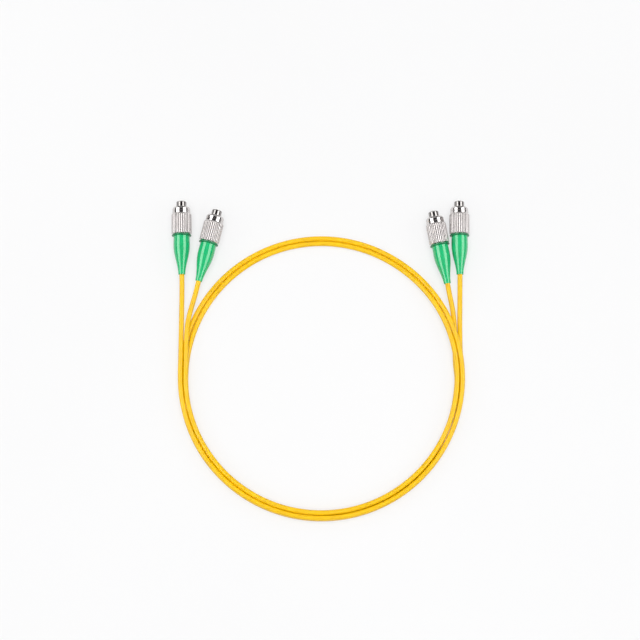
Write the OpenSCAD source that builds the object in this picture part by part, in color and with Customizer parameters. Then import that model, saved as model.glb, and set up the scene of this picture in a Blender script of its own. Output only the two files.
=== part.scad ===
// Duplex fiber optic patch cord: two simplex cords wound in one round coil, with a threaded
// connector on each of the four ends. It lies on the plane z = 0. The origin is on that plane,
// in the middle of the four connectors, and the coil lies on the -Y side of them.
// Every connector is drawn along its own axis, from the boot's cable end (0) to the ferrule tip.

/* [Coupling nut] */
// Outside diameter over the knurl
nut_d = 10; // [9.8:0.1:10.4]
// Length of the nut along its axis
nut_len = 13.8; // [13:0.1:14]
// Number of knurl ridges around the nut
knurl_count = 32; // [24:2:48]
// Depth of the knurl grooves
knurl_depth = 0.2; // [0.1:0.05:0.4]
// Minor diameter of the nut's M8 x 0.75 thread
thread_minor_d = 7.2; // [7.15:0.01:7.24]
// Distance that the nut slides towards the tip
nut_travel = 3; // [1:0.1:3.1]

/* [Barrel and ferrule] */
// Outside diameter of the barrel's front tube
barrel_tip_d = 5; // [4.9:0.1:5.4]
// Length of the front tube that stands out of the nut
barrel_out = 3; // [2:0.1:4]
// Width of the orientation key
key_w = 2; // [1.6:0.02:2.2]
// Ferrule diameter
ferrule_d = 2.5; // [2.499:0.001:2.501]
// Length of ferrule beyond the barrel's end
ferrule_out = 0.8; // [0.2:0.1:1.5]
// Angle of the polished ferrule end
polish_angle = 8; // [0:1:9]

/* [Boot] */
// Length of the strain-relief boot
boot_len = 20.2; // [20:0.1:21]
// Diameter of the boot's straight part
boot_d = 8.3; // [8:0.1:8.8]
// Diameter of the boot's front flange
boot_flange_d = 9.8; // [9:0.1:9.8]
// Diameter of the boot where the cable leaves it
boot_end_d = 3.5; // [3.3:0.1:3.7]

/* [Cable] */
// Cable jacket diameter
cable_d = 2.5; // [2:0.1:2.5]
// Diameter of the buffered fibre inside the cable
buffer_d = 0.9; // [0.6:0.1:0.9]
// Mean diameter of the coil
coil_d = 136.8; // [136.6:0.1:137]

/* [Hidden] */
$fn = 64;

// fit between pieces of one body, and running fit between pieces that move
fit = 0.04;
running = 0.07;
tiny = 0.01;

// the four connectors: name, place of the boot's cable end, lean of the axis to the right
CONNECTORS = [
    ["left_outer", [-69.25, -16.6], -1.2],
    ["left_inner", [-60.85, -20], 13.8],
    ["right_inner", [63.15, -21.2], -10.3],
    ["right_outer", [69.45, -16.6], 0.2],
];

// places along a connector's axis, from the boot's cable end
cable_in = 9.4;
post_start = 9.6;
crimp_start = 9.7;
crimp_hex_end = 14.5;
crimp_end = 16.2;
rear_flange_start = 16.9;
barrel_start = 18;
rear_body_end = 20;
nut_start = boot_len + 0.2;
nut_end = nut_start + nut_len;
barrel_end = nut_end + barrel_out;
ferrule_end = barrel_end + ferrule_out;

// inside of the nut, from its rear face
lip_len = 2;
ring_len = 0.7;
groove_len = ring_len + 0.1;
shoulder_len = 0.5;
relief_end = 7.8;
thread_pitch = 0.75;
thread_turns = 6;
thread_depth = 0.35;
thread_start = nut_start + relief_end;
thread_end = thread_start + thread_turns * thread_pitch;
relief_r = 4.05;
groove_r = 3.95;
ring_r = 3.88;
shoulder_r = 3.72;

// outside of the nut, back from its front face
nose_r = 3.9;
nose_len = 0.7;
band_r = 4.45;
band_len = 3.3;
band_line = 2;
band_line_w = 0.16;
band_line_depth = 0.12;
knurl_lead = 0.35;
rear_rim_len = 0.45;

// barrel
body_r = 3;
collar_r = 3.45;
collar_start = nut_start + lip_len + groove_len + nut_travel + 0.2;
collar_len = 1.5;
cavity_r = 2.4;
cavity_end = 28.95;
throat_r = 1.9;
throat_end = 29.6;
front_bore_r = 2.05;
neck_start = 29.8;
neck_end = 30.1;
tip_chamfer = 0.25;
key_h = 0.65;
key_back = 5;
key_len = 3;

// ferrule and flange
flange_start = 26.4;
flange_end = 28.85;
flange_r = 2.25;
flange_tail_start = 22.9;
flange_tail_r = 1.5;
notch_w = 0.6;
notch_depth = 0.5;
spigot_r = 1;
spigot_start = 26.9;
ferrule_chamfer = 0.6;
ferrule_face_r = 0.75;
fibre_end = 24.3;
fibre_hole_r = buffer_d / 2 + 0.15;

// spring
spring_start = rear_body_end + 0.05;
spring_end = flange_start - 0.05;
spring_r = 1.95;
wire_r = 0.2;
spring_turns = 6;
turn_steps = 16;
wire_sides = 6;

// rear body, aramid yarn and crimp sleeve
post_r = 1.6;
rear_flange_r = 2.9;
yarn_r = 1.86;
yarn_end = 15.8;
crimp_bore_r = yarn_r + fit;
crimp_hex_r = 2.45;
crimp_collar_r = 2.5;

// boot
boot_taper = 15;
boot_curve = 1.8;
boot_steps = 14;
boot_flange_len = 0.65;
boot_rim = 0.2;
boot_bore_r = cable_d / 2 + 0.1;
boot_crimp_r = 2.55;
boot_front_r = body_r + 0.05;

// coil: the outer cord's strand and the inner cord's strand lie side by side, in two layers
// where they pass twice. Angles are measured from +X, counter-clockwise.
coil_centre = [0.35, -67.2];
strand_w = 2.65;
strand_gap = 0.1;
layer_h = 2.56;
coil_bevel = 0.6;
two_layers_from = 180;
two_layers_to = 415;
low_z = 1.27;
high_z = low_z + layer_h;
tube_sides = 8;

// where each cord's tail lies between the boot and the coil
TAILS = [
    [
        [-69.1, -23.2, 4.8], [-69.1, -30.2, 4.5], [-69.15, -37.2, 4.2], [-69.2, -44.2, 3.9],
        [-69.25, -51.2, high_z], [-69.3, -59.2, high_z], [-69.41, -67.2, high_z],
    ],
    [
        [-62.45, -26.7, 4.8], [-64.3, -33.2, 4.5], [-65.8, -39.7, 4.2], [-66.5, -46.2, 3.9],
        [-66.7, -53.2, high_z], [-66.7, -60.2, high_z], [-66.69, -67.2, high_z],
    ],
    [
        [64.25, -27.2, 4.6], [65.5, -33.2, 3.5], [66.3, -38.7, 2.2], [66.7, -44.2, 1.4],
        [66.75, -50.2, low_z], [66.75, -56.2, low_z], [66.95, -62.2, low_z], [67.39, -67.2, low_z],
    ],
    [
        [69.4, -22.1, 4.6], [69.35, -28.1, 3.7], [69.35, -34.1, 2.5], [69.3, -40.1, 1.55],
        [69.3, -46.2, low_z], [69.3, -52.2, low_z], [69.65, -59.2, low_z], [70.11, -67.2, low_z],
    ],
];

PIECES = [
    "coupling_nut", "retaining_ring", "barrel", "ferrule", "ferrule_flange", "spring",
    "rear_body", "aramid_yarn", "crimp_sleeve", "buffered_fibre", "boot", "cord_tail",
];

// ---------------------------------------------------------------- helpers

// a point at a distance along a connector's axis, on the axis
function along(c, t) = [c[1][0] + t * sin(c[2]), c[1][1] + t * cos(c[2]), nut_d / 2];

// puts a piece drawn along +Z into its connector, with its +Y side turned down
module placed(c) {
    translate([c[1][0], c[1][1], nut_d / 2])
        rotate([0, 0, -c[2]])
            rotate([-90, 0, 0])
                children();
}

// a turned piece from its outline, a list of [place along the axis, radius]
module turned(outline) {
    rotate_extrude() polygon([for (p = outline) [p[1], p[0]]]);
}

module rod(r, from, to) {
    translate([0, 0, from]) cylinder(r = r, h = to - from);
}

module tube(r_out, r_in, from, to) {
    difference() {
        rod(r_out, from, to);
        rod(r_in, from - 1, to + 1);
    }
}

// a solid swept through rings of points: quads between rings, and a cap at each end
module swept(rings) {
    n = len(rings[0]);
    last = (len(rings) - 1) * n;
    sides = [
        for (i = [0:len(rings) - 2]) for (j = [0:n - 1])
            let (k = (j + 1) % n)
            for (f = [
                [i * n + j, i * n + k, (i + 1) * n + k],
                [i * n + j, (i + 1) * n + k, (i + 1) * n + j],
            ]) f
    ];
    caps = [[for (j = [n - 1:-1:0]) j], [for (j = [0:n - 1]) last + j]];
    polyhedron(points = [for (r = rings) for (p = r) p], faces = concat(sides, caps), convexity = 10);
}

function unit(v) = v / norm(v);

// the route's direction at its point i
function heading(route, i) = unit(route[min(i + 1, len(route) - 1)] - route[max(i - 1, 0)]);

// a ring of points around a route's point, square to the route's direction
function ring_at(route, i, r, n) =
    let (d = heading(route, i), u = unit(cross(d, [0, 0, 1])), v = cross(u, d))
    [for (j = [0:n - 1]) let (a = 360 * j / n) route[i] + r * (cos(a) * u + sin(a) * v)];

// ---------------------------------------------------------------- connector pieces

module knurled_rod(from, to) {
    translate([0, 0, from])
        linear_extrude(to - from)
            polygon([
                for (i = [0:2 * knurl_count - 1])
                    let (a = 180 * i / knurl_count, r = nut_d / 2 - (i % 2) * knurl_depth)
                    [r * sin(a), -r * cos(a)]
            ]);
}

module coupling_nut() {
    knurl_from = nut_start + rear_rim_len;
    knurl_to = nut_end - band_len - knurl_lead;
    core_r = nut_d / 2 - knurl_depth - tiny;
    color("silver")
    difference() {
        union() {
            knurled_rod(knurl_from, knurl_to);
            turned([
                [nut_start, 0], [nut_start, core_r - 0.3], [nut_start + 0.3, core_r],
                [knurl_to, core_r], [nut_end - band_len, band_r + 0.1],
                [nut_end - band_line - band_line_w, band_r + 0.1],
                [nut_end - band_line - band_line_w / 2, band_r - band_line_depth],
                [nut_end - band_line, band_r],
                [nut_end - nose_len - 0.2, band_r], [nut_end - nose_len, band_r - 0.2],
                [nut_end - 0.15, nose_r + 0.15], [nut_end, nose_r], [nut_end, 0],
            ]);
        }
        rod(body_r + running, nut_start - 1, nut_start + lip_len + tiny);
        rod(groove_r, nut_start + lip_len, nut_start + lip_len + groove_len);
        rod(shoulder_r, nut_start + lip_len, nut_start + lip_len + groove_len + shoulder_len + tiny);
        rod(relief_r, nut_start + lip_len + groove_len + shoulder_len, thread_start + tiny);
        turned(concat(
            [[thread_start, 0], [thread_start, thread_minor_d / 2]],
            [
                for (i = [0:thread_turns - 1]) for (s = [[0.15, 0], [0.5, thread_depth], [0.85, 0]])
                    [thread_start + (i + s[0]) * thread_pitch, thread_minor_d / 2 + s[1]]
            ],
            [[nut_end + tiny, thread_minor_d / 2], [nut_end + tiny, 0]]
        ));
    }
}

module retaining_ring() {
    start = nut_start + lip_len + (groove_len - ring_len) / 2;
    gap_w = 1.6;
    color("gray")
    difference() {
        tube(ring_r, body_r + running, start, start + ring_len);
        translate([-gap_w / 2, 0, start - 1]) cube([gap_w, 2 * ring_r, ring_len + 2]);
    }
}

module barrel() {
    tip_r = barrel_tip_d / 2;
    color("lightgray")
    union() {
        difference() {
            turned([
                [barrel_start, 0], [barrel_start, body_r - 0.15], [barrel_start + 0.15, body_r],
                [collar_start, body_r], [collar_start, collar_r], [collar_start + collar_len, collar_r],
                [collar_start + collar_len, body_r], [neck_start, body_r], [neck_end, tip_r],
                [barrel_end - tip_chamfer, tip_r], [barrel_end, tip_r - tip_chamfer], [barrel_end, 0],
            ]);
            rod(cavity_r, barrel_start - 1, cavity_end);
            rod(throat_r, barrel_start, throat_end + tiny);
            rod(front_bore_r, throat_end, barrel_end + 1);
        }
        translate([-key_w / 2, front_bore_r + 0.15, barrel_end - key_back])
            cube([key_w, tip_r + key_h - front_bore_r - 0.15, key_len]);
    }
}

module ferrule() {
    chamfer_start = ferrule_end - ferrule_chamfer;
    color("white")
    difference() {
        turned([
            [spigot_start, 0], [spigot_start, spigot_r], [flange_end, spigot_r],
            [flange_end, ferrule_d / 2], [chamfer_start, ferrule_d / 2],
            [ferrule_end + 0.1, ferrule_face_r], [ferrule_end + 0.1, 0],
        ]);
        translate([0, 0, ferrule_end])
            rotate([polish_angle, 0, 0])
                translate([-2, -2, 0]) cube([4, 4, 2]);
    }
}

module ferrule_flange() {
    color("darkgray")
    difference() {
        union() {
            rod(flange_r, flange_start, flange_end);
            rod(flange_tail_r, flange_tail_start, flange_start + tiny);
        }
        rod(spigot_r + fit, spigot_start - fit, flange_end + 1);
        rod(fibre_hole_r, flange_tail_start - 1, spigot_start);
        for (i = [0:3])
            rotate([0, 0, 90 * i + 45])
                translate([flange_r - notch_depth, -notch_w / 2, flange_start - 1])
                    cube([1, notch_w, 1 + (flange_end - flange_start) / 2]);
    }
}

module spring() {
    steps = spring_turns * turn_steps;
    from = spring_start + wire_r;
    rise = spring_end - spring_start - 2 * wire_r;
    color("dimgray")
    swept([
        for (i = [0:steps])
            let (a = 360 * i / turn_steps, out = [cos(a), sin(a), 0])
            [
                for (j = [0:wire_sides - 1])
                    let (b = -360 * j / wire_sides)
                    spring_r * out + [0, 0, from + rise * i / steps]
                        + wire_r * (cos(b) * out + [0, 0, sin(b)])
            ]
    ]);
}

module rear_body() {
    color("silver")
    difference() {
        turned([
            [post_start, 0], [post_start, post_r], [rear_flange_start, post_r],
            [rear_flange_start, rear_flange_r], [barrel_start - fit, rear_flange_r],
            [barrel_start - fit, cavity_r - fit], [rear_body_end, cavity_r - fit], [rear_body_end, 0],
        ]);
        rod(fibre_hole_r, post_start - 1, rear_body_end + 1);
    }
}

module aramid_yarn() {
    color("gold") tube(yarn_r, post_r + fit, crimp_start + 0.1, yarn_end);
}

module crimp_sleeve() {
    color("silver")
    difference() {
        union() {
            translate([0, 0, crimp_start])
                cylinder(r = crimp_hex_r, h = crimp_hex_end - crimp_start + tiny, $fn = 6);
            rod(crimp_collar_r, crimp_hex_end, crimp_end);
        }
        rod(crimp_bore_r, crimp_start - 1, crimp_end + 1);
    }
}

module buffered_fibre() {
    color("ivory") rod(buffer_d / 2, cable_in, fibre_end);
}

function boot_radius(t) =
    boot_end_d / 2 + (boot_d - boot_end_d) / 2 * pow(sin(90 * t / boot_taper), boot_curve);

module boot() {
    flange_from = boot_len - boot_flange_len;
    flange_r = boot_flange_d / 2;
    color("mediumseagreen")
    difference() {
        turned(concat(
            [[0, 0], [0, boot_end_d / 2]],
            [for (i = [1:boot_steps]) let (t = boot_taper * i / boot_steps) [t, boot_radius(t)]],
            [
                [flange_from - 0.35, boot_d / 2], [flange_from - 0.1, boot_d / 2 - 0.12],
                [flange_from, flange_r - boot_rim], [flange_from + boot_rim, flange_r],
                [boot_len - boot_rim, flange_r], [boot_len, flange_r - boot_rim], [boot_len, 0],
            ]
        ));
        turned([
            [-1, 0], [-1, boot_bore_r], [cable_in - 1.2, boot_bore_r], [cable_in, boot_crimp_r],
            [crimp_end + 0.3, boot_crimp_r], [crimp_end + 0.5, boot_front_r],
            [boot_len + 1, boot_front_r], [boot_len + 1, 0],
        ]);
    }
}

// ---------------------------------------------------------------- cords

module cord_tail(i) {
    c = CONNECTORS[i];
    route = concat([along(c, cable_in), along(c, 0)], TAILS[i]);
    color("orange")
    swept([for (k = [0:len(route) - 1]) ring_at(route, k, cable_d / 2, tube_sides)]);
}

// one strand's space in the coil: a bevelled ring two layers high, less the upper layer where
// the strand passes only once
module cord_coil(r_in) {
    r_out = r_in + strand_w;
    top = 2 * layer_h;
    past = 1;
    color("orange")
    translate([coil_centre[0], coil_centre[1], 0])
    difference() {
        rotate_extrude()
            polygon([
                [r_in + coil_bevel, 0], [r_out - coil_bevel, 0], [r_out, coil_bevel],
                [r_out, top - coil_bevel], [r_out - coil_bevel, top],
                [r_in + coil_bevel, top], [r_in, top - coil_bevel], [r_in, coil_bevel],
            ]);
        rotate([0, 0, two_layers_to - 360])
            rotate_extrude(angle = 360 + two_layers_from - two_layers_to)
                polygon([
                    [r_in - past, top + past], [r_in - past, layer_h - coil_bevel - past],
                    [r_in + coil_bevel, layer_h], [r_out - coil_bevel, layer_h],
                    [r_out + past, layer_h - coil_bevel - past], [r_out + past, top + past],
                ]);
    }
}

// ---------------------------------------------------------------- the nodes

for (i = [0:3]) {
    name = CONNECTORS[i][0];
    placed(CONNECTORS[i]) coupling_nut();
    placed(CONNECTORS[i]) retaining_ring();
    placed(CONNECTORS[i]) barrel();
    placed(CONNECTORS[i]) ferrule();
    placed(CONNECTORS[i]) ferrule_flange();
    placed(CONNECTORS[i]) spring();
    placed(CONNECTORS[i]) rear_body();
    placed(CONNECTORS[i]) aramid_yarn();
    placed(CONNECTORS[i]) crimp_sleeve();
    placed(CONNECTORS[i]) buffered_fibre();
    placed(CONNECTORS[i]) boot();
    cord_tail(i);
}
cord_coil(coil_d / 2 + strand_gap / 2);  // outer_cord_coil
cord_coil(coil_d / 2 - strand_gap / 2 - strand_w);  // inner_cord_coil
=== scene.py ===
"""Duplex fibre optic patch cord: two yellow cords in one round coil, with a knurled metal
connector and a green boot on each end, seen from above on a pale floor."""

import math

import bmesh
import bpy
from mathutils import Matrix, Vector


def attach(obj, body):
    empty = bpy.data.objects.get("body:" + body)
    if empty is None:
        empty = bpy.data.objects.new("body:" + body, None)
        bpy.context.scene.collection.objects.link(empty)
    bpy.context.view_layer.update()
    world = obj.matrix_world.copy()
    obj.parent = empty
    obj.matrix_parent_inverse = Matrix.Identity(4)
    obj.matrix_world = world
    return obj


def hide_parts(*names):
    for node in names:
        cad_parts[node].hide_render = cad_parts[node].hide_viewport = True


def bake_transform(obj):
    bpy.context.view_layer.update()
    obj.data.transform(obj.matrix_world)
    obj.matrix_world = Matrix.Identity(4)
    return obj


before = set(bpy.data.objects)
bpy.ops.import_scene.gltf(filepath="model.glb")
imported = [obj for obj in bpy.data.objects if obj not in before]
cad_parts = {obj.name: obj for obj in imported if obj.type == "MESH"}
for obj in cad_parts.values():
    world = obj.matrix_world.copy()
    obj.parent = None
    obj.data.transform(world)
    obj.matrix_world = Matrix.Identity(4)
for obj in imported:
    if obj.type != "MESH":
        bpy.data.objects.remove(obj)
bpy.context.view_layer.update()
scene = bpy.context.scene
MM = 0.001

# ------------------------------------------------------------------ camera

VIEW_CENTRE = (-0.35, -39.3, 3.5)  # mm, the point in the middle of the picture
VIEW_WIDTH = 318.2  # mm across the picture, at that point
CAMERA_FAR = 700.0  # mm from that point
CAMERA_TILT = 9.0  # degrees from straight down, towards the boots' side

cam_data = bpy.data.cameras.new("camera")
cam_data.sensor_width = 36.0
cam_data.lens = 36.0 * CAMERA_FAR / VIEW_WIDTH
cam_data.clip_start = 0.01
cam_data.clip_end = 50.0
camera = bpy.data.objects.new("camera", cam_data)
tilt = math.radians(CAMERA_TILT)
camera.rotation_euler = (tilt, 0, 0)
camera.location = Vector(VIEW_CENTRE) * MM + CAMERA_FAR * MM * Vector((0, -math.sin(tilt), math.cos(tilt)))
scene.collection.objects.link(camera)
scene.camera = camera

# ------------------------------------------------------------------ connectors' places

# name: the boot's cable end in mm, and the axis's lean to the right in degrees
CONNECTORS = {
    "left_outer": ((-69.25, -16.6), -1.2),
    "left_inner": ((-60.85, -20.0), 13.8),
    "right_inner": ((63.15, -21.2), -10.3),
    "right_outer": ((69.45, -16.6), 0.2),
}
AXIS_HEIGHT = 5.0


def placed(name):
    """From a connector's own space, +Z along its axis to the tip and +Y down, to the row's."""
    (x, y), lean = CONNECTORS[name]
    return (
        Matrix.Translation((x * MM, y * MM, AXIS_HEIGHT * MM))
        @ Matrix.Rotation(math.radians(-lean), 4, "Z")
        @ Matrix.Rotation(math.radians(-90), 4, "X")
    )


def along(name, t):
    """The point of a connector's axis t mm from the boot's cable end."""
    (x, y), lean = CONNECTORS[name]
    a = math.radians(lean)
    return (x + t * math.sin(a), y + t * math.cos(a), AXIS_HEIGHT)


# ------------------------------------------------------------------ cords

CABLE_D = 2.5
CABLE_IN = 9.4  # how far the cable goes into the boot
CABLE_SIDES, CABLE_STEP = 24, 1.5  # how its tube is drawn: sides around, and mm from ring to ring

# Each cord comes in on the left, at 180 degrees counted on from +X, and leaves on the right at 720.
COIL_CENTRE = (0.35, -67.2)
COIL_R = 68.4  # to the middle between the two cords
COIL_FROM, COIL_TO, COIL_STEP = 180, 720, 6
LOW_Z, HIGH_Z = 1.27, 3.83  # the two layers
DOWN_AT, DOWN_OVER = 385, 35  # where the cords go down to the lower layer

# between the centre lines of the two cords
CLOSEST = CABLE_D + 0.03
SPACING, SPACING_SWING, WIDEST_AT = 2.6, 0.14, 135
APART_BY, APART_OVER = 715, 40  # where they are spaced as in the upper layer again

# under the upper layer they lie a little further out
UNDER_AT, UNDER_OVER, UNDER_OUT = 530, 40, 0.3

TAILS = {
    "left_outer": [
        (-69.1, -23.2, 4.8), (-69.1, -30.2, 4.5), (-69.15, -37.2, 4.2), (-69.2, -44.2, 3.9),
        (-69.25, -51.2, HIGH_Z), (-69.3, -59.2, HIGH_Z),
    ],
    "left_inner": [
        (-62.45, -26.7, 4.8), (-64.3, -33.2, 4.5), (-65.8, -39.7, 4.2), (-66.5, -46.2, 3.9),
        (-66.7, -53.2, HIGH_Z), (-66.7, -60.2, HIGH_Z),
    ],
    "right_inner": [
        (64.25, -27.2, 4.6), (65.5, -33.2, 3.5), (66.3, -38.7, 2.2), (66.7, -44.2, 1.4),
        (66.75, -50.2, LOW_Z), (66.75, -56.2, LOW_Z), (66.95, -62.2, LOW_Z),
    ],
    "right_outer": [
        (69.4, -22.1, 4.6), (69.35, -28.1, 3.7), (69.35, -34.1, 2.5), (69.3, -40.1, 1.55),
        (69.3, -46.2, LOW_Z), (69.3, -52.2, LOW_Z), (69.65, -59.2, LOW_Z),
    ],
}


def smooth(x):
    """Goes from 0 to 1 without a corner as x does."""
    x = min(max(x, 0.0), 1.0)
    return x * x * (3 - 2 * x)


def coil_point(theta, side):
    """A point of a cord in the coil, in mm; side is +1 for the outer cord and -1 for the inner."""
    a = math.radians(theta)
    spacing = max(CLOSEST, SPACING + SPACING_SWING * math.cos(2 * (a - math.radians(WIDEST_AT))))
    down, inside = smooth((theta - DOWN_AT) / DOWN_OVER), smooth((APART_BY - theta) / APART_OVER)
    spacing += (CLOSEST - spacing) * down * inside
    r = COIL_R + side * spacing / 2 + UNDER_OUT * smooth((theta - UNDER_AT) / UNDER_OVER) * inside
    z = HIGH_Z + (LOW_Z - HIGH_Z) * down
    return (COIL_CENTRE[0] + r * math.cos(a), COIL_CENTRE[1] + r * math.sin(a), z)


def spline(points, step):
    """Points every step mm along a natural cubic spline through the given points."""
    n = len(points)
    s = [0.0]
    for p, q in zip(points, points[1:]):
        s.append(s[-1] + math.dist(p, q))
    h = [b - a for a, b in zip(s, s[1:])]
    axes = []
    for k in range(3):
        y = [p[k] for p in points]
        diag, up, rhs = [1.0], [0.0], [0.0]
        for i in range(1, n - 1):
            d = 2 * (h[i - 1] + h[i]) - h[i - 1] * up[i - 1]
            slope = 6 * ((y[i + 1] - y[i]) / h[i] - (y[i] - y[i - 1]) / h[i - 1])
            up.append(h[i] / d)
            rhs.append((slope - h[i - 1] * rhs[i - 1]) / d)
            diag.append(d)
        m = [0.0] * n
        for i in range(n - 2, 0, -1):
            m[i] = rhs[i] - up[i] * m[i + 1]
        axes.append((y, m))
    count = int(s[-1] / step)
    out, i = [], 0
    for j in range(count + 1):
        u = s[-1] * j / count
        while i < n - 2 and u > s[i + 1]:
            i += 1
        a, b = s[i + 1] - u, u - s[i]
        out.append(
            tuple(
                (m[i] * a**3 + m[i + 1] * b**3) / (6 * h[i])
                + (y[i] / h[i] - m[i] * h[i] / 6) * a
                + (y[i + 1] / h[i] - m[i + 1] * h[i] / 6) * b
                for y, m in axes
            )
        )
    return out


def tube_mesh(name, route, radius, sides):
    """A closed tube along the route, without twist."""
    bm = bmesh.new()
    pts = [Vector(p) for p in route]
    last = len(pts) - 1
    tangents = [(pts[min(i + 1, last)] - pts[max(i - 1, 0)]).normalized() for i in range(last + 1)]
    u = tangents[0].cross(Vector((0, 0, 1))).normalized()
    rings = []
    for p, d in zip(pts, tangents):
        u = (u - d * u.dot(d)).normalized()
        v = d.cross(u)
        rings.append(
            [
                bm.verts.new(p + radius * (math.cos(a) * u + math.sin(a) * v))
                for a in (2 * math.pi * k / sides for k in range(sides))
            ]
        )
    for a, b in zip(rings, rings[1:]):
        for k in range(sides):
            j = (k + 1) % sides
            bm.faces.new((a[k], a[j], b[j], b[k]))
    bm.faces.new(list(reversed(rings[0])))
    bm.faces.new(rings[-1])
    return finish_mesh(name, bm, 40)


def finish_mesh(name, bm, sharp_deg, matrix=None):
    """The finished mesh, smooth except at edges sharper than sharp_deg, moved by the matrix."""
    bmesh.ops.recalc_face_normals(bm, faces=bm.faces)
    mesh = bpy.data.meshes.new(name)
    bm.to_mesh(mesh)
    bm.free()
    mesh.shade_smooth()
    mesh.set_sharp_from_angle(angle=math.radians(sharp_deg))
    if matrix:
        mesh.transform(matrix)
    return mesh


def add_piece(name, mesh, body, materials, nodes=()):
    """Adds a piece that rides on a body, or on none yet where body is None."""
    obj = bpy.data.objects.new(name, mesh)
    scene.collection.objects.link(obj)
    for m in materials:
        mesh.materials.append(m)
    if body:
        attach(obj, body)
    if nodes:
        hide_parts(*nodes)
    return obj


# ------------------------------------------------------------------ materials

NOISE_LOW, NOISE_HIGH = 0.3, 0.7  # most of a noise's values lie between these


class Nodes:
    """A material's node tree, with short ways to add what these materials use."""

    def __init__(self, name):
        self.material = bpy.data.materials.new(name)
        self.material.use_nodes = True
        self.tree = self.material.node_tree
        self.shader = self.tree.nodes["Principled BSDF"]
        self.coords = self.new("ShaderNodeTexCoord").outputs["Object"]

    def new(self, kind, **values):
        node = self.tree.nodes.new(kind)
        for key, value in values.items():
            setattr(node, key, value)
        return node

    def link(self, a, b):
        self.tree.links.new(a, b)

    def set(self, **values):
        for key, value in values.items():
            self.shader.inputs[key.replace("_", " ")].default_value = value

    def noise(self, scale, stretch=(1, 1, 1), detail=3.0):
        """Noise with that many features a metre, before the stretch."""
        mapping = self.new("ShaderNodeMapping")
        mapping.inputs["Scale"].default_value = [scale * s for s in stretch]
        self.link(self.coords, mapping.inputs["Vector"])
        tex = self.new("ShaderNodeTexNoise")
        tex.inputs["Scale"].default_value = 1.0
        tex.inputs["Detail"].default_value = detail
        tex.inputs["Roughness"].default_value = 0.5
        self.link(mapping.outputs["Vector"], tex.inputs["Vector"])
        return tex.outputs["Fac"]

    def ramp(self, noise, low, high):
        """Colours from low to high, over most of what a noise gives."""
        ramp = self.new("ShaderNodeValToRGB")
        first, last = ramp.color_ramp.elements
        first.position, last.position = NOISE_LOW, NOISE_HIGH
        first.color, last.color = (*low, 1), (*high, 1)
        self.link(noise, ramp.inputs["Fac"])
        return ramp.outputs["Color"]

    def span(self, value, low, high, start=NOISE_LOW, end=NOISE_HIGH):
        """A number from low to high as the value goes from start to end."""
        node = self.new("ShaderNodeMapRange")
        for key, number in (("From Min", start), ("From Max", end), ("To Min", low), ("To Max", high)):
            node.inputs[key].default_value = number
        self.link(value, node.inputs["Value"])
        return node.outputs["Result"]

    def bump(self, height, depth, strength):
        """A bump of that depth in metres."""
        node = self.new("ShaderNodeBump")
        node.inputs["Strength"].default_value = strength
        node.inputs["Distance"].default_value = depth
        self.link(height, node.inputs["Height"])
        return node.outputs["Normal"]

    def finish(self, color, rough, normal):
        for value, key in ((color, "Base Color"), (rough, "Roughness"), (normal, "Normal")):
            self.link(value, self.shader.inputs[key])
        return self.material


def metal(name, low, high, rough, turned=True, metallic=1.0):
    """Plated or bright metal with fine turning marks around the axis, and faint handling marks."""
    n = Nodes(name)
    n.set(Metallic=metallic)
    marks = n.noise(1500.0, (0.15, 0.15, 6.0) if turned else (1, 1, 1), detail=4.0)
    smudge = n.noise(240.0, detail=2.0)
    return n.finish(
        n.ramp(smudge, low, high),
        n.span(smudge, rough[0], rough[1]),
        n.bump(marks, 0.000004, 0.5),
    )


def moulded(name, low, high, rough, grain=5000.0, depth=0.00001, specular=0.5, coat=0.0, coat_ior=1.5):
    """Moulded or extruded plastic: faint mottling, and a fine matt grain."""
    n = Nodes(name)
    n.set(IOR=1.5, Specular_IOR_Level=specular)
    if coat:
        n.set(Coat_Weight=coat, Coat_Roughness=0.09, Coat_IOR=coat_ior)
    mottle = n.noise(180.0, detail=3.0)
    return n.finish(
        n.ramp(mottle, low, high),
        n.span(mottle, rough[0], rough[1]),
        n.bump(n.noise(grain, detail=2.0), depth, 0.6),
    )


nickel = metal("nickel_plate", (0.62, 0.59, 0.58), (0.68, 0.65, 0.64), (0.12, 0.18))
knurl_nickel = metal(
    "knurl_nickel", (0.69, 0.65, 0.64), (0.75, 0.71, 0.70), (0.36, 0.42), turned=False, metallic=0.65
)
# painted shade: the knurl's grooves get a much darker nickel, standing in for the shade in them
groove_painted_shade = metal("groove_painted_shade", (0.20, 0.185, 0.18), (0.26, 0.245, 0.24), (0.10, 0.15), turned=False)
# painted shade: the barrel's nickel is made much darker than the nut's, so the floor it reflects at its
# sides reads as shade
barrel_nickel = metal("barrel_nickel", (0.30, 0.285, 0.275), (0.36, 0.345, 0.335), (0.10, 0.16))
inner_nickel = metal("inner_nickel", (0.55, 0.52, 0.50), (0.62, 0.60, 0.58), (0.25, 0.38))
steel = metal("spring_steel", (0.42, 0.42, 0.43), (0.52, 0.52, 0.53), (0.22, 0.34))
crimp_metal = metal("crimp_metal", (0.58, 0.53, 0.44), (0.68, 0.62, 0.52), (0.30, 0.42), turned=False)
zirconia = moulded("zirconia", (0.80, 0.80, 0.77), (0.86, 0.86, 0.84), (0.10, 0.16), depth=0.000002)
zirconia.node_tree.nodes["Principled BSDF"].inputs["IOR"].default_value = 2.1
fibre_glass = moulded("fibre_glass", (0.10, 0.11, 0.12), (0.14, 0.15, 0.16), (0.05, 0.08), depth=0.000001)
boot_green = moulded(
    "boot_green", (0.002, 0.41, 0.135), (0.003, 0.45, 0.155), (0.30, 0.36),
    specular=0.1, coat=1.0, coat_ior=1.75,
)
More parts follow.
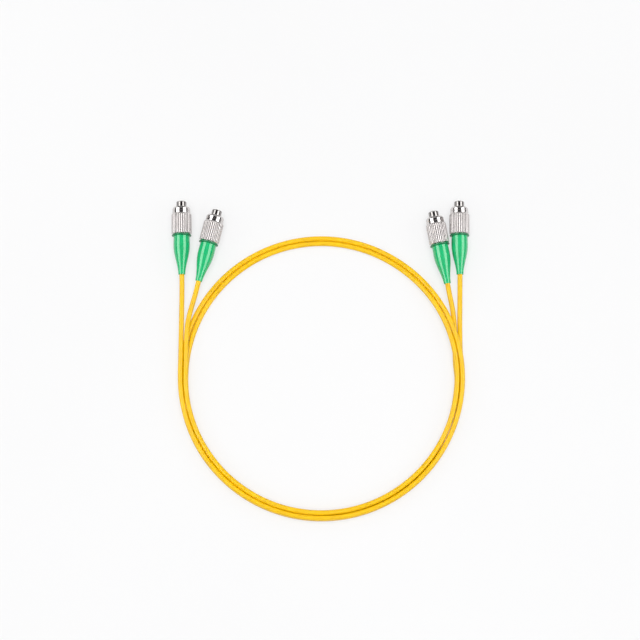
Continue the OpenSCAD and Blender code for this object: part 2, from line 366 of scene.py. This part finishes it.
# painted shade: a darker green on the flange, standing in for the shade where the boot meets the nut
boot_rim_painted_shade = moulded("boot_rim_painted_shade", (0.003, 0.16, 0.06), (0.004, 0.19, 0.07), (0.3, 0.4))
jacket = moulded(
    "cord_jacket", (0.75, 0.435, 0.001), (0.81, 0.49, 0.002), (0.30, 0.38),
    grain=4000.0, specular=0.15, coat=0.45,
)
buffer = moulded("fibre_buffer", (0.80, 0.77, 0.68), (0.86, 0.83, 0.75), (0.35, 0.45))


def yarn_material():
    n = Nodes("aramid_yarn")
    n.set(IOR=1.5)
    strands = n.noise(2500.0, (1, 1, 0.05), detail=4.0)
    return n.finish(
        n.ramp(strands, (0.55, 0.36, 0.06), (0.85, 0.66, 0.20)),
        n.span(strands, 0.5, 0.75),
        n.bump(strands, 0.00005, 0.8),
    )


aramid = yarn_material()

# ------------------------------------------------------------------ the two cords


def cord(name, left, right, side, coil_node):
    """One cord, from inside the left connector's boot, round the coil, into the right one's."""
    points = [along(left, CABLE_IN), along(left, CABLE_IN / 2), along(left, 0)]
    points += TAILS[left]
    points += [coil_point(theta, side) for theta in range(COIL_FROM, COIL_TO + 1, COIL_STEP)]
    points += reversed(TAILS[right])
    points += [along(right, 0), along(right, CABLE_IN / 2), along(right, CABLE_IN)]
    route = [tuple(x * MM for x in p) for p in spline(points, CABLE_STEP)]
    mesh = tube_mesh(name, route, CABLE_D / 2 * MM, CABLE_SIDES)
    nodes = [left + "_cord_tail", coil_node, right + "_cord_tail"]
    piece = add_piece(name, mesh, "cords", [jacket], nodes)


cord("outer_cord", "left_outer", "right_outer", 1, "outer_cord_coil")
cord("inner_cord", "left_inner", "right_inner", -1, "inner_cord_coil")

# ------------------------------------------------------------------ connector pieces


def outline(*corners):
    """Rounds the corners of a turned piece's outline: (t, r) or (t, r, rounding), in mm."""
    n = len(corners)
    steps, most = 4, 0.45  # in each rounding, and the most that it takes of a side
    out = []
    for i, c in enumerate(corners):
        p = Vector(c[:2])
        size = c[2] if len(c) > 2 else 0.0
        if not size:
            out.append(tuple(p))
            continue
        a, b = Vector(corners[i - 1][:2]) - p, Vector(corners[(i + 1) % n][:2]) - p
        da, db = min(size, a.length * most), min(size, b.length * most)
        a, b = p + a.normalized() * da, p + b.normalized() * db
        for k in range(steps + 1):
            u = k / steps
            out.append(tuple((1 - u) ** 2 * a + 2 * u * (1 - u) * p + u * u * b))
    return out


def lathe(bm, loop, segments, radius=None, closed=True):
    """Turns a loop of (t, r) about Z; radius(t, r, angle, index) may change a radius."""
    rings = []
    for index, (t, r) in enumerate(loop):
        if r < 1e-6:
            rings.append([bm.verts.new((0, 0, t * MM))])
            continue
        ring = []
        for k in range(segments):
            a = 2 * math.pi * k / segments
            q = radius(t, r, a, index) if radius else r
            ring.append(bm.verts.new((q * math.cos(a) * MM, q * math.sin(a) * MM, t * MM)))
        rings.append(ring)
    faces = []
    pairs = list(zip(rings, rings[1:]))
    if closed:
        pairs.append((rings[-1], rings[0]))
    for number, (a, b) in enumerate(pairs):
        for k in range(segments):
            j = (k + 1) % segments
            if len(a) == 1 and len(b) == 1:
                continue
            if len(a) == 1:
                face = bm.faces.new((a[0], b[j], b[k]))
            elif len(b) == 1:
                face = bm.faces.new((a[k], a[j], b[0]))
            else:
                face = bm.faces.new((a[k], a[j], b[j], b[k]))
            faces.append((number, face))
    return faces


# In each connector's own space: t is along the axis in mm from the boot's cable end, r from the axis.

# coupling nut
NUT_R = 5.0
KNURLS, KNURL_STEPS = 32, 8
KNURL_SHAPE = (0.16, 0.16, 0.13, 0.0, 0.0, 0.0, 0.13, 0.16)  # the depth at each step of one knurl
KNURL_GROOVE_SHADE = (0, 1, 6, 7)  # the steps of the groove, which get the dark nickel of painted shade
KNURL_FROM, KNURL_TO = 20.65, 30.55
THREAD_FROM, THREAD_TO, PITCH = 28.2, 33.8, 0.75
THREAD_R, THREAD_DEPTH, ROWS_A_TURN = 3.6, 0.35, 6
THREAD_LEAD, THREAD_RUN_OUT = 0.5, 0.3  # where it grows to its full depth, at the mouth and inside


def nut_mesh(matrix):
    """The coupling nut, with its knurl, its thread and the groove of the retaining ring."""
    outer = outline(
        (20.4, 3.22), (20.4, 4.5, 0.1), (20.9, NUT_R, 0.12), (30.35, NUT_R, 0.12), (30.9, 4.55, 0.08),
        (32.02, 4.55, 0.05), (32.12, 4.33), (32.22, 4.45, 0.05), (33.4, 4.45, 0.12),
        (34.05, 4.05, 0.08), (34.2, 3.9, 0.05), (34.2, 3.72),
    )
    threaded = THREAD_TO - THREAD_FROM
    rows = int(threaded / (PITCH / ROWS_A_TURN))
    thread = [(THREAD_TO - threaded * i / rows, THREAD_R) for i in range(rows + 1)]
    first = len(outer) + 1
    inner = [(34.08, THREAD_R)] + thread + outline(
        (28.15, THREAD_R), (28.0, 4.05), (23.7, 4.05), (23.7, 3.72), (23.2, 3.72), (23.2, 3.95),
        (22.4, 3.95), (22.4, 3.07), (20.55, 3.07),
    )

    def radius(t, r, angle, index):
        """Cuts the knurl into the outside, and the right-hand thread into the bore."""
        if index < len(outer):
            step = round(angle / (2 * math.pi) * KNURLS * KNURL_STEPS) % KNURL_STEPS
            return min(r, NUT_R - KNURL_SHAPE[step]) if KNURL_FROM < t < KNURL_TO else r
        if first <= index < first + len(thread):
            turn = ((t - THREAD_FROM) / PITCH - angle / (2 * math.pi)) % 1.0
            tooth = min(max(1.5 - abs(turn - 0.5) * 4, 0.0), 1.0)
            fade = smooth((THREAD_TO - t) / THREAD_LEAD) * smooth((t - THREAD_FROM) / THREAD_RUN_OUT)
            return r + THREAD_DEPTH * tooth * fade
        return r

    bm = bmesh.new()
    loop = outer + inner
    for count, (number, face) in enumerate(lathe(bm, loop, KNURLS * KNURL_STEPS, radius)):
        if number >= len(outer) - 1:
            continue
        if KNURL_FROM < (loop[number][0] + loop[number + 1][0]) / 2 < KNURL_TO:
            # the groove's steps get the painted shade, the ridges the knurl nickel
            face.material_index = 2 if count % KNURL_STEPS in KNURL_GROOVE_SHADE else 1
    return finish_mesh("coupling_nut", bm, 50, matrix)


# barrel, with the key underneath
KEY_LOW, KEY_HIGH, KEY_EDGE = (-1.0, 2.2, 32.2), (1.0, 3.15, 35.2), 0.12


def barrel_mesh(matrix):
    """The barrel and the stop collar, joined to the key."""
    loop = outline(
        (18.0, 2.85, 0.04), (18.15, 3.0, 0.05), (26.4, 3.0), (26.4, 3.45, 0.08), (27.9, 3.45, 0.08),
        (27.9, 3.0), (29.8, 3.0, 0.05), (30.1, 2.5), (36.9, 2.5, 0.08), (37.2, 2.27, 0.06),
        (37.2, 2.13, 0.03), (37.1, 2.05), (29.6, 2.05), (29.6, 1.9), (28.95, 1.9), (28.95, 2.4),
        (18.0, 2.4),
    )
    bm = bmesh.new()
    lathe(bm, loop, 96)
    mesh = finish_mesh("barrel", bm, 35)
    key = bmesh.new()
    bmesh.ops.create_cube(key, size=1.0)
    for v in key.verts:
        v.co = [(a if c < 0 else b) * MM for c, a, b in zip(v.co, KEY_LOW, KEY_HIGH)]
    bmesh.ops.bevel(key, geom=key.edges[:], offset=KEY_EDGE * MM, segments=3, affect="EDGES", profile=0.5)
    return union(mesh, finish_mesh("key", key, 35), matrix)


def union(mesh, other, matrix):
    """Joins two closed meshes into one solid."""
    a, b = bpy.data.objects.new("a", mesh), bpy.data.objects.new("b", other)
    for obj in (a, b):
        scene.collection.objects.link(obj)
    modifier = a.modifiers.new("join", "BOOLEAN")
    modifier.operation, modifier.solver, modifier.object = "UNION", "EXACT", b
    done = bpy.data.meshes.new_from_object(a.evaluated_get(bpy.context.evaluated_depsgraph_get()))
    for obj in (a, b):
        bpy.data.objects.remove(obj)
    done.materials.clear()
    done.shade_smooth()
    done.set_sharp_from_angle(angle=math.radians(35))
    done.transform(matrix)
    return done


# ferrule: its last part leans over with the polished face
FERRULE_END, FERRULE_R = 38.0, 1.25
POLISH, POLISH_LEN = math.tan(math.radians(8)), 0.3


def ferrule_mesh(matrix):
    """The ferrule, with the fibre's end as a dot in its face."""
    loop = outline(
        (26.9, 0.0), (26.9, 1.0), (28.85, 1.0), (28.85, FERRULE_R, 0.03),
        (FERRULE_END - 0.6, FERRULE_R, 0.12), (FERRULE_END, 0.78, 0.05), (FERRULE_END, 0.0625),
        (FERRULE_END, 0.0),
    )
    bm = bmesh.new()
    faces = lathe(bm, loop, 64, closed=False)
    for number, face in faces:
        face.material_index = 1 if number == len(loop) - 2 else 0
    for v in bm.verts:
        past = v.co.z / MM - (FERRULE_END - POLISH_LEN)
        if past > 0:
            v.co.z += v.co.y * POLISH * past / POLISH_LEN
    return finish_mesh("ferrule", bm, 35, matrix)


# spring: a closed turn at each end, and open turns between
SPRING_FROM, SPRING_TO, SPRING_R, WIRE_R, SPRING_TURNS = 20.05, 26.35, 1.95, 0.2, 6
CLOSED_RISE = 0.42  # along the axis, in one closed turn
STEPS_A_TURN, WIRE_SIDES = 36, 10


def spring_mesh(matrix):
    """The spring at rest."""
    first, last = SPRING_FROM + WIRE_R, SPRING_TO - WIRE_R
    steps = SPRING_TURNS * STEPS_A_TURN
    route = []
    for i in range(steps + 1):
        turn = SPRING_TURNS * i / steps
        if turn < 1:
            t = first + CLOSED_RISE * turn
        elif turn > SPRING_TURNS - 1:
            t = last - CLOSED_RISE * (SPRING_TURNS - turn)
        else:
            t = first + CLOSED_RISE + (last - first - 2 * CLOSED_RISE) * (turn - 1) / (SPRING_TURNS - 2)
        a = 2 * math.pi * turn
        route.append((SPRING_R * math.cos(a) * MM, SPRING_R * math.sin(a) * MM, t * MM))
    mesh = tube_mesh("spring", route, WIRE_R * MM, WIRE_SIDES)
    mesh.transform(matrix)
    return mesh


# boot
BOOT_R, BOOT_END_R, BOOT_TAPER, BOOT_CURVE = 4.15, 1.75, 15.0, 1.8
BOOT_STEPS = 36
RIM_FIRST, RIM_END = 6, 22  # the bands of the front's outline that get the rim's darker green, painted shade where the boot meets the nut


def boot_mesh(matrix):
    """The boot's flared skin, its rim, and the bore that takes the cable and the rear body."""
    skin = [
        (t, BOOT_END_R + (BOOT_R - BOOT_END_R) * math.sin(math.pi / 2 * t / BOOT_TAPER) ** BOOT_CURVE)
        for t in (BOOT_TAPER * i / BOOT_STEPS for i in range(1, BOOT_STEPS + 1))
    ]
    front = outline(
        (19.3, BOOT_R, 0.1), (19.5, 4.05, 0.06), (19.55, 4.7, 0.06), (19.7, 4.9, 0.1),
        (20.05, 4.9, 0.1), (20.2, 4.7, 0.06), (20.2, 3.05),
    )
    bore = [
        (16.7, 3.05), (16.5, 2.55), (9.4, 2.55), (8.2, 1.35), (0.1, 1.35), (0.0, 1.41),
        (0.0, 1.62), (0.06, 1.72),
    ]
    loop = skin + front + bore
    bm = bmesh.new()
    rim = range(len(skin) + RIM_FIRST, len(skin) + RIM_END)
    for number, face in lathe(bm, loop, 96):
        # the rim's bands get the darker green of painted shade
        face.material_index = 1 if number in rim else 0
    return finish_mesh("boot", bm, 35, matrix)


for name in CONNECTORS:
    place = placed(name)
    add_piece(name + "_nut_detail", nut_mesh(place), name + "_nut", [nickel, knurl_nickel, groove_painted_shade],
              [name + "_coupling_nut"])
    add_piece(name + "_barrel_detail", barrel_mesh(place), "cords", [barrel_nickel],
              [name + "_barrel"])
    add_piece(name + "_ferrule_detail", ferrule_mesh(place), name + "_ferrule",
              [zirconia, fibre_glass], [name + "_ferrule"])
    add_piece(name + "_boot_detail", boot_mesh(place), "cords", [boot_green, boot_rim_painted_shade],
              [name + "_boot"])
    # the spring rides on no body, and its place is baked into its mesh
    spring = add_piece(name + "_spring_detail", spring_mesh(place), None, [steel],
                       [name + "_spring"])
    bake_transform(spring)

# the CAD pieces that stay, by the end of their names
KEPT = {
    "retaining_ring": steel,
    "ferrule_flange": inner_nickel,
    "rear_body": inner_nickel,
    "aramid_yarn": aramid,
    "crimp_sleeve": crimp_metal,
    "buffered_fibre": buffer,
}
for node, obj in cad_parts.items():
    for ending, finish in KEPT.items():
        if node.endswith(ending):
            for s in obj.material_slots:
                s.material = finish

# ------------------------------------------------------------------ floor, lights and world

# The floor is a light table: its own light fills most of the shadows. Beyond the lamps it gives
# more, and meets the world's colour at the horizon.
FLOOR_SIZE = 12.0  # m, from the middle to a side
GLOW, GLOW_FAR = 0.62, 0.93
GLOW_FROM, GLOW_TO = 0.9, 2.7  # m from the middle


def floor_material():
    n = Nodes("floor")
    n.set(IOR=1.4, Emission_Color=(1, 1, 1, 1))
    distance = n.new("ShaderNodeVectorMath", operation="LENGTH")
    n.link(n.coords, distance.inputs[0])
    glow = n.span(distance.outputs["Value"], GLOW, GLOW_FAR, GLOW_FROM, GLOW_TO)
    n.link(glow, n.shader.inputs["Emission Strength"])
    cloud = n.noise(3.0, detail=2.0)
    return n.finish(
        n.ramp(cloud, (0.23, 0.23, 0.232), (0.25, 0.25, 0.252)),
        n.span(cloud, 0.75, 0.85),
        n.bump(n.noise(900.0, detail=2.0), 0.00001, 0.2),
    )


bm = bmesh.new()
bmesh.ops.create_grid(bm, x_segments=2, y_segments=2, size=FLOOR_SIZE)
floor_mesh = bpy.data.meshes.new("floor")
bm.to_mesh(floor_mesh)
bm.free()
floor_mesh.materials.append(floor_material())
floor = bpy.data.objects.new("floor", floor_mesh)
scene.collection.objects.link(floor)


LIGHTS_AIM = (0, -0.04, 0)


def softbox(name, direction, tilt, distance, size, radiance, diffuse=True, glossy=True):
    """A rectangular light, tilt degrees from the zenith towards direction, facing the object."""
    light = bpy.data.lights.new(name, "AREA")
    light.shape = "RECTANGLE"
    light.size, light.size_y = size
    light.energy = radiance * math.pi * size[0] * size[1]
    obj = bpy.data.objects.new(name, light)
    turn = Matrix.Rotation(math.radians(direction), 4, "Z") @ Matrix.Rotation(math.radians(tilt), 4, "Y")
    obj.matrix_world = Matrix.Translation(LIGHTS_AIM) @ turn @ Matrix.Translation((0, 0, distance))
    obj.visible_camera = False
    obj.visible_diffuse, obj.visible_glossy = diffuse, glossy
    scene.collection.objects.link(obj)


softbox("light_right", 0, 46, 1.5, (1.03, 1.7), 3.2, diffuse=False)
softbox("light_left", 180, 46, 1.5, (1.03, 1.7), 3.2, diffuse=False)
softbox("light_far", 90, 55, 2.2, (1.4, 3.0), 0.8)
softbox("light_near", 270, 55, 2.2, (1.4, 3.0), 0.8)
softbox("fill_right", 0, 62, 1.5, (1.0, 1.7), 1.3, glossy=False)
softbox("fill_left", 180, 62, 1.5, (1.0, 1.7), 1.3, glossy=False)
softbox("light_top", 0, 0, 1.8, (1.6, 1.6), 4.6, glossy=False)

# the camera sees a pale world, and the object is lit by a dim one
WORLD_SEEN, WORLD_LIGHT = (0.93, 0.93, 0.935, 1), (0.045, 0.045, 0.047, 1)
world = bpy.data.worlds.new("world")
world.use_nodes = True
tree = world.node_tree
tree.nodes.clear()
out = tree.nodes.new("ShaderNodeOutputWorld")
mix = tree.nodes.new("ShaderNodeMixShader")
path = tree.nodes.new("ShaderNodeLightPath")
dim, pale = tree.nodes.new("ShaderNodeBackground"), tree.nodes.new("ShaderNodeBackground")
dim.inputs["Color"].default_value = WORLD_LIGHT
pale.inputs["Color"].default_value = WORLD_SEEN
tree.links.new(path.outputs["Is Camera Ray"], mix.inputs["Fac"])
tree.links.new(dim.outputs[0], mix.inputs[1])
tree.links.new(pale.outputs[0], mix.inputs[2])
tree.links.new(mix.outputs[0], out.inputs["Surface"])
scene.world = world
scene.view_settings.view_transform = "Standard"
scene.view_settings.look = "None"
